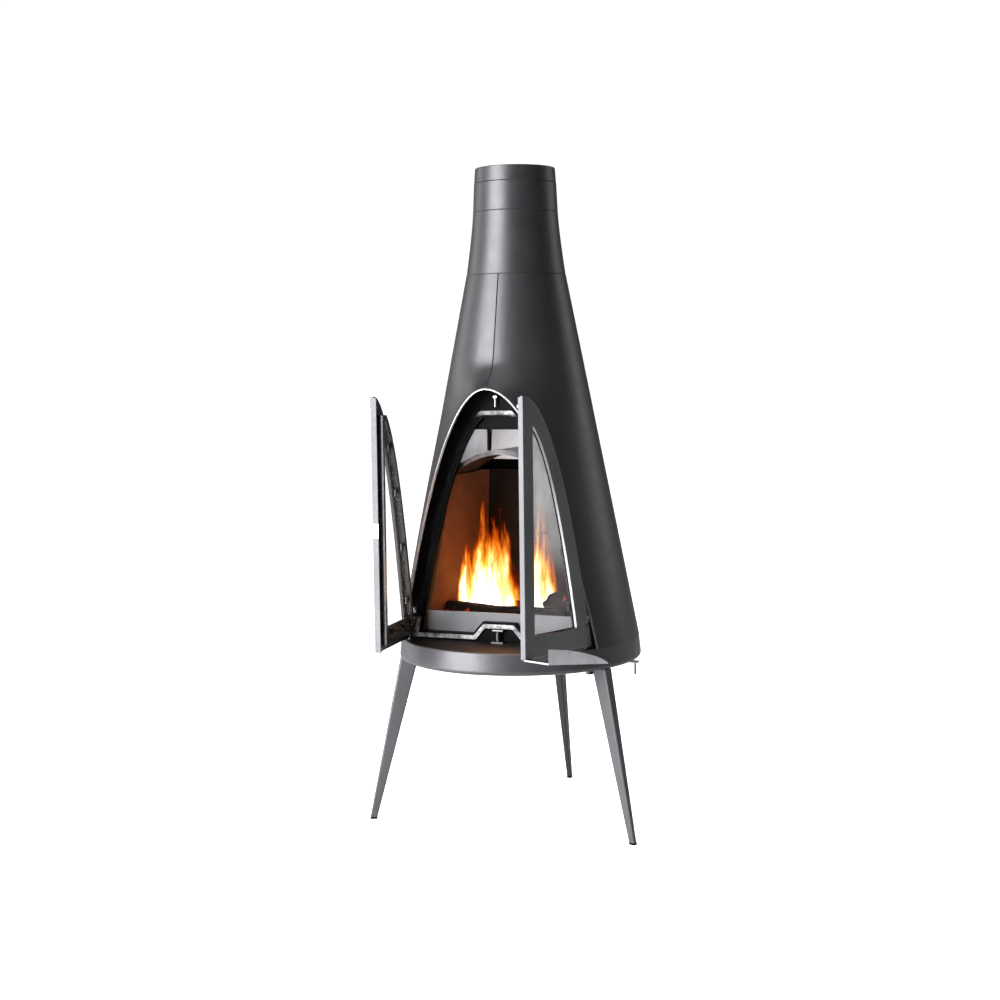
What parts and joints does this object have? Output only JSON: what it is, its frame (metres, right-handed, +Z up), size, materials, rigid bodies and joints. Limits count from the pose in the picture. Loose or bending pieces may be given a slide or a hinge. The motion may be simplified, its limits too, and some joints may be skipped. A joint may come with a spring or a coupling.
{
  "type": "wood burning stove",
  "caption": "Conical free-standing wood burning stove on splayed blade legs, with a flared arch mouth, a pair of glazed arch doors, an air lever and a stacked flue collar.",
  "frame": {"origin": "on the floor under the flue axis, at the centre of the footprint", "axes": "+Z up along the flue axis, -Y out of the doors, +X to the viewer's right when facing the doors"},
  "size_m": [0.5772, 0.6446, 1.335],
  "materials": {
    "bare_steel": "satin",
    "door_glass": "clear, slightly hazed",
    "door_paint": "satin painted",
    "fire_brick": "matt, heat stained",
    "firebox_black": "matt, sooty",
    "grate_iron": "rough",
    "guard_grey": "matt, ash dusted",
    "hearth_black": "matt heat-proof paint",
    "leg_paint": "satin painted",
    "light_board": "matt",
    "polished_steel": "polished",
    "rope_seal": "woven glass rope",
    "stove_paint": "satin painted, fine grain"
  },
  "bodies": {
    "stove": {"air_pivot": "bare_steel", "ash_box": "firebox_black", "baffle_plate": "light_board", "baffle_rod": "firebox_black", "base_ring": "stove_paint", "bottom_catch": "bare_steel", "bracket_screws": "bare_steel", "collar_lower": "stove_paint", "collar_middle": "stove_paint", "collar_top": "stove_paint", "firebox_top": "firebox_black", "firebox_wall": "firebox_black", "flue_spigot": "firebox_black", "foot_glides": "firebox_black", "frame_gasket": "rope_seal", "front_frame": "firebox_black", "hearth_plate": "hearth_black", "hinge_brackets": "firebox_black", "hinge_pins": "bare_steel", "leg_bolts": "bare_steel", "leg_front_left": "leg_paint", "leg_front_right": "leg_paint", "leg_rear": "leg_paint", "liner_back": "fire_brick", "liner_left": "fire_brick", "liner_right": "fire_brick", "lintel": "firebox_black", "retaining_plate": "guard_grey", "seam_bolts": "bare_steel", "seam_straps": "firebox_black", "shell_left": "stove_paint", "shell_right": "stove_paint", "smoke_plate_back": "light_board", "smoke_plate_left": "light_board", "smoke_plate_right": "light_board", "top_catch": "bare_steel"},
    "left_door": {"left_clip_screws": "bare_steel", "left_door_clips": "bare_steel", "left_door_frame": "door_paint", "left_door_gasket": "rope_seal", "left_door_glass": "door_glass", "left_door_rim": "firebox_black", "left_door_strike": "bare_steel"},
    "right_door": {"door_handle": "polished_steel", "handle_screws": "bare_steel", "right_clip_screws": "bare_steel", "right_door_clips": "bare_steel", "right_door_frame": "door_paint", "right_door_gasket": "rope_seal", "right_door_glass": "door_glass", "right_door_latch": "bare_steel", "right_door_rim": "firebox_black"},
    "air_control": {"air_disc": "firebox_black", "air_lever": "bare_steel", "air_pin": "bare_steel"},
    "ash_unit": {"grate": "grate_iron", "ash_pan": "grate_iron"},
    "roller": {"catch_roller": "bare_steel"}
  },
  "joints": [
    {"name": "left_door_hinge", "type": "hinge", "parent": "stove", "child": "left_door", "pos_m": [-0.188, -0.138, 0.408], "axis": [0, 0, 1], "range_deg": [-27, 85]},
    {"name": "right_door_hinge", "type": "hinge", "parent": "stove", "child": "right_door", "pos_m": [0.188, -0.138, 0.408], "axis": [0, 0, 1], "range_deg": [-69, 43]},
    {"name": "air_control_turn", "type": "hinge", "parent": "stove", "child": "air_control", "pos_m": [0, 0, 0.338], "axis": [0, 0, 1], "range_deg": [-16, 36]},
    {"name": "ash_unit_lift", "type": "slide", "parent": "stove", "child": "ash_unit", "axis": [0, 0, 1], "range_m": [0, 0.06]},
    {"name": "catch_roller_turn", "type": "hinge", "parent": "stove", "child": "roller", "pos_m": [0, -0.128, 0.395], "axis": [0, 0, 1], "continuous": true}
  ]
}
